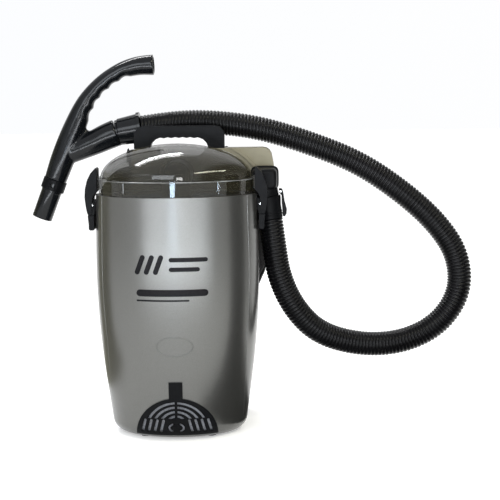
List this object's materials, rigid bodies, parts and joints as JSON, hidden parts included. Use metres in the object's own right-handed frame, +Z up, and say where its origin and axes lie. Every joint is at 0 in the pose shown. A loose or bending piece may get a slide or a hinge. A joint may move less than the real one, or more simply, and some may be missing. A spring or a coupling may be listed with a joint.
{
  "type": "backpack vacuum cleaner",
  "caption": "Upright backpack vacuum: oval two-part casing, clear domed lid with side latches, front exhaust grille, rear harness, ribbed hose looping to a Y-shaped bent end.",
  "frame": {"origin": "centre of the base, on the surface that the cleaner stands on", "axes": "+Z up, -Y towards the front with the exhaust grille, +X towards the hose inlet"},
  "size_m": [0.7132, 0.2779, 0.5867],
  "materials": {
    "silver_shell": "satin metallic lacquer",
    "smoke_lid": "clear smoke-tinted polycarbonate",
    "black_plastic": "satin black moulding",
    "gloss_black": "glossy black moulding",
    "grey_housing": "warm grey moulding",
    "hose_plastic": "ribbed black hose",
    "rubber": "matt rubber",
    "fabric_black": "padded nylon",
    "webbing": "woven nylon tape",
    "filter_foam": "light grey filter foam",
    "cloth": "woven filter cloth",
    "paper": "filter paper",
    "card": "grey board",
    "steel": "machined",
    "zinc": "bright zinc plate",
    "alloy": "die cast and spun",
    "copper": "enamelled copper",
    "board_green": "printed circuit board"
  },
  "bodies": {
    "machine": {"front_shell": "silver_shell", "rear_shell": "silver_shell", "base_feet": "rubber", "exhaust_filter": "filter_foam", "motor_deck": "black_plastic", "pre_motor_filter": "filter_foam", "motor_top_seal": "rubber", "fan_housing": "steel", "fan_guide_plate": "alloy", "motor_frame": "alloy", "motor_stator": "steel", "field_coils": "copper", "motor_bearings": "zinc", "carbon_brushes": "black_plastic", "motor_mount": "rubber", "cloth_filter": "cloth", "filter_rim": "rubber", "dust_bag": "paper", "bag_collar": "card", "latch_brackets": "black_plastic", "hinge_pins": "zinc", "inlet_housing": "grey_housing", "housing_cover": "grey_housing", "screws": "zinc", "port_seal": "rubber", "inlet_elbow": "black_plastic", "inlet_cuff": "black_plastic", "carry_handle": "black_plastic", "swivel_cuff": "gloss_black", "rocker_switch_body": "black_plastic", "control_board": "board_green", "cord_gland": "rubber", "harness_plate": "black_plastic", "harness_bracket": "black_plastic", "back_pad": "fabric_black", "shoulder_strap_right": "fabric_black", "shoulder_strap_left": "fabric_black", "waist_belt_right": "fabric_black", "waist_belt_left": "fabric_black", "strap_webbing": "webbing", "strap_adjuster": "black_plastic", "buckle_socket": "black_plastic", "buckle_tongue": "black_plastic", "hose": "hose_plastic"},
    "lid": {"lid_dome": "smoke_lid", "lid_catches": "smoke_lid", "intake_elbow": "black_plastic"},
    "latch_lever_right": {"latch_lever_right": "black_plastic"},
    "latch_hook_right": {"latch_hook_right": "black_plastic"},
    "latch_lever_left": {"latch_lever_left": "black_plastic"},
    "latch_hook_left": {"latch_hook_left": "black_plastic"},
    "rotor": {"motor_shaft": "steel", "armature": "steel", "commutator": "copper", "fan_impeller": "alloy"},
    "grille": {"exhaust_grille": "black_plastic"},
    "release_lever": {"release_lever": "black_plastic"},
    "switch_rocker": {"switch_rocker": "gloss_black"},
    "bent_end": {"bent_end": "gloss_black"},
    "bleed_ring": {"bleed_ring": "black_plastic"}
  },
  "joints": [
    {"name": "lid_lift", "type": "slide", "parent": "machine", "child": "lid", "axis": [0, 0, 1], "range_m": [0, 0.06]},
    {"name": "latch_lever_right_swing", "type": "hinge", "parent": "machine", "child": "latch_lever_right", "pos_m": [0.131, 0, 0.355], "axis": [0, -1, 0], "range_deg": [0, 90]},
    {"name": "latch_hook_right_swing", "type": "hinge", "parent": "latch_lever_right", "child": "latch_hook_right", "pos_m": [0.1342, 0, 0.3445], "axis": [0, -1, 0], "range_deg": [-108, 0]},
    {"name": "latch_lever_left_swing", "type": "hinge", "parent": "machine", "child": "latch_lever_left", "pos_m": [-0.131, 0, 0.355], "axis": [0, 1, 0], "range_deg": [0, 90]},
    {"name": "latch_hook_left_swing", "type": "hinge", "parent": "latch_lever_left", "child": "latch_hook_left", "pos_m": [-0.1342, 0, 0.3445], "axis": [0, 1, 0], "range_deg": [-108, 0]},
    {"name": "motor_spin", "type": "hinge", "parent": "machine", "child": "rotor", "pos_m": [0, -0.014, 0.09], "axis": [0, 0, 1], "continuous": true},
    {"name": "grille_pull", "type": "slide", "parent": "machine", "child": "grille", "axis": [0, -1, 0], "range_m": [0, 0.03]},
    {"name": "release_lever_press", "type": "hinge", "parent": "machine", "child": "release_lever", "pos_m": [0.1606, 0.0445, 0.37], "axis": [0, 1, 0], "range_deg": [0, 3.5], "stiffness_Nm_per_rad": 1, "springref_deg": -2.86},
    {"name": "switch_rock", "type": "hinge", "parent": "machine", "child": "switch_rocker", "pos_m": [-0.0762, 0.086, 0.39], "axis": [0, 1, 0], "range_deg": [-14, 0]},
    {"name": "bent_end_swivel", "type": "hinge", "parent": "machine", "child": "bent_end", "pos_m": [-0.1, 0.116, 0.4627], "axis": [0.9853, 0, 0.171], "range_deg": [-60, 60]},
    {"name": "bleed_ring_turn", "type": "hinge", "parent": "bent_end", "child": "bleed_ring", "pos_m": [-0.208, 0.116, 0.381], "axis": [0.3601, 0, 0.9329], "range_deg": [0, 60]}
  ],
  "couplings": [
    {"joint": "latch_hook_right_swing", "follows": "latch_lever_right_swing", "ratio": -1.2},
    {"joint": "latch_hook_left_swing", "follows": "latch_lever_left_swing", "ratio": -1.2}
  ]
}
